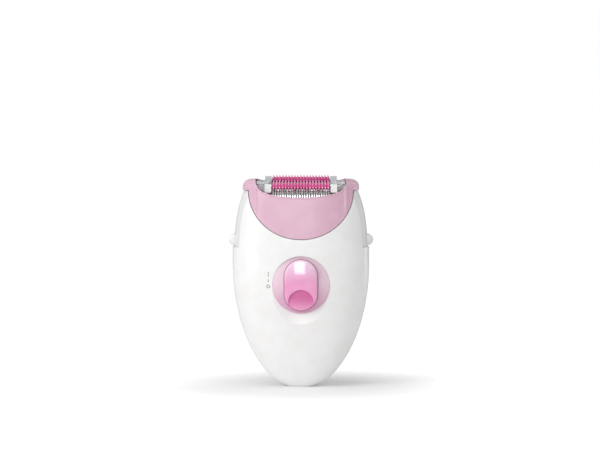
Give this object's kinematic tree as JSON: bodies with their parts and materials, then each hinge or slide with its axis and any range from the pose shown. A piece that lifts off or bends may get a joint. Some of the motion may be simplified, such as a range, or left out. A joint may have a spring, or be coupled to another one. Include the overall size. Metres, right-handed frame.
{
  "type": "epilator",
  "caption": "Hand-held epilator: flattened egg-shaped body with a geared motor, slide switch, lift-off tweezer head, massage roller cap and side release buttons.",
  "frame": {"origin": "middle of the small flat foot at the bottom, on the parting plane between the shells", "axes": "+Z from the foot to the tweezer head; the switch side faces -Y; +X to the right of someone looking at the switch"},
  "size_m": [0.0784, 0.0439, 0.1137],
  "materials": {
    "pearl_white": "gloss pearl",
    "panel_grey": "satin",
    "button_white": "gloss",
    "inner_white": "moulded",
    "black_plastic": "moulded",
    "plated_brass": "plated",
    "brass": "pressed",
    "bezel_pink": "gloss",
    "slider_pink": "gloss",
    "collar_pink": "satin",
    "board": "lacquered",
    "lead_rubber": "smooth",
    "steel": "turned",
    "plated_steel": "zinc plated",
    "spring_steel": "drawn",
    "disc_steel": "stamped",
    "magnet": "sintered",
    "gear_plastic": "moulded",
    "smoke_clear": "clear moulded",
    "roller_magenta": "moulded"
  },
  "bodies": {
    "body": {"front_shell": "pearl_white", "back_shell": "pearl_white", "foot_ring": "pearl_white", "side_panel_left": "panel_grey", "side_panel_right": "panel_grey", "inlet_housing": "black_plastic", "inlet_pins": "plated_brass", "switch_bezel": "bezel_pink", "circuit_board": "board", "board_parts": "black_plastic", "supply_leads": "lead_rubber", "chassis": "inner_white", "chassis_cover": "inner_white", "chassis_screws": "steel", "gearbox_screws": "steel", "shell_screws": "steel", "motor_can": "plated_steel", "motor_end_cap": "black_plastic", "motor_terminals": "brass", "motor_magnets": "magnet", "gear_axles": "steel", "top_deck": "inner_white", "button_spring_left": "spring_steel", "button_spring_right": "spring_steel"},
    "switch": {"switch_slider": "slider_pink", "switch_carrier": "inner_white", "switch_contact": "brass"},
    "button_left": {"release_button_left": "button_white"},
    "button_right": {"release_button_right": "button_white"},
    "motor_rotor": {"motor_shaft": "steel", "motor_armature": "steel", "motor_pinion": "brass"},
    "compound_wheel": {"compound_gear": "gear_plastic"},
    "output_wheel": {"output_gear": "gear_plastic"},
    "head": {"head_collar": "collar_pink", "head_frame": "inner_white", "drum_bushings": "brass", "head_screws": "steel", "pressure_roller_pins": "steel"},
    "drum": {"drum_axle": "steel", "drum_core": "inner_white", "tweezer_discs_fixed": "disc_steel", "drum_gear": "gear_plastic"},
    "tweezers": {"tweezer_discs_moving": "disc_steel", "actuator_rods": "steel"},
    "press_left": {"pressure_roller_left": "gear_plastic"},
    "press_right": {"pressure_roller_right": "gear_plastic"},
    "massage_cap": {"cap_frame": "smoke_clear", "cap_end_blocks": "button_white", "roller_axles": "steel"},
    "roller_front": {"massage_roller_front": "roller_magenta"},
    "roller_rear": {"massage_roller_rear": "roller_magenta"}
  },
  "joints": [
    {"name": "switch_slide", "type": "slide", "parent": "body", "child": "switch", "axis": [0, 0, 1], "range_m": [0, 0.006]},
    {"name": "button_left_press", "type": "slide", "parent": "body", "child": "button_left", "axis": [1, 0, 0], "range_m": [0, 0.0015], "stiffness_N_per_m": 700, "deforming": ["button_spring_left"]},
    {"name": "button_right_press", "type": "slide", "parent": "body", "child": "button_right", "axis": [-1, 0, 0], "range_m": [0, 0.0015], "stiffness_N_per_m": 700, "deforming": ["button_spring_right"]},
    {"name": "head_lift", "type": "slide", "parent": "body", "child": "head", "axis": [0, 0, 1], "range_m": [0, 0.045]},
    {"name": "drum_spin", "type": "hinge", "parent": "head", "child": "drum", "pos_m": [0, -0.0008, 0.1016], "axis": [1, 0, 0], "continuous": true},
    {"name": "motor_spin", "type": "hinge", "parent": "body", "child": "motor_rotor", "pos_m": [0, 0.0022, 0.05375], "axis": [1, 0, 0], "continuous": true},
    {"name": "compound_spin", "type": "hinge", "parent": "body", "child": "compound_wheel", "pos_m": [0, 0.0009, 0.0693], "axis": [1, 0, 0], "continuous": true},
    {"name": "output_spin", "type": "hinge", "parent": "body", "child": "output_wheel", "pos_m": [0, -0.0008, 0.0836], "axis": [1, 0, 0], "continuous": true},
    {"name": "tweezer_pinch", "type": "slide", "parent": "drum", "child": "tweezers", "axis": [-1, 0, 0], "range_m": [0, 0.00035], "stiffness_N_per_m": 500},
    {"name": "press_left_spin", "type": "hinge", "parent": "head", "child": "press_left", "pos_m": [-0.0184, -0.0008, 0.0958], "axis": [0, 1, 0], "continuous": true},
    {"name": "press_right_spin", "type": "hinge", "parent": "head", "child": "press_right", "pos_m": [0.0184, -0.0008, 0.0958], "axis": [0, 1, 0], "continuous": true},
    {"name": "cap_lift", "type": "slide", "parent": "head", "child": "massage_cap", "axis": [0, 0, 1], "range_m": [0, 0.02]},
    {"name": "roller_front_spin", "type": "hinge", "parent": "massage_cap", "child": "roller_front", "pos_m": [0, -0.0098, 0.1082], "axis": [1, 0, 0], "continuous": true},
    {"name": "roller_rear_spin", "type": "hinge", "parent": "massage_cap", "child": "roller_rear", "pos_m": [0, 0.0068, 0.1114], "axis": [1, 0, 0], "continuous": true}
  ],
  "couplings": [
    {"joint": "compound_spin", "follows": "motor_spin", "ratio": -0.3},
    {"joint": "output_spin", "follows": "motor_spin", "ratio": 0.12353},
    {"joint": "drum_spin", "follows": "motor_spin", "ratio": -0.16154}
  ]
}
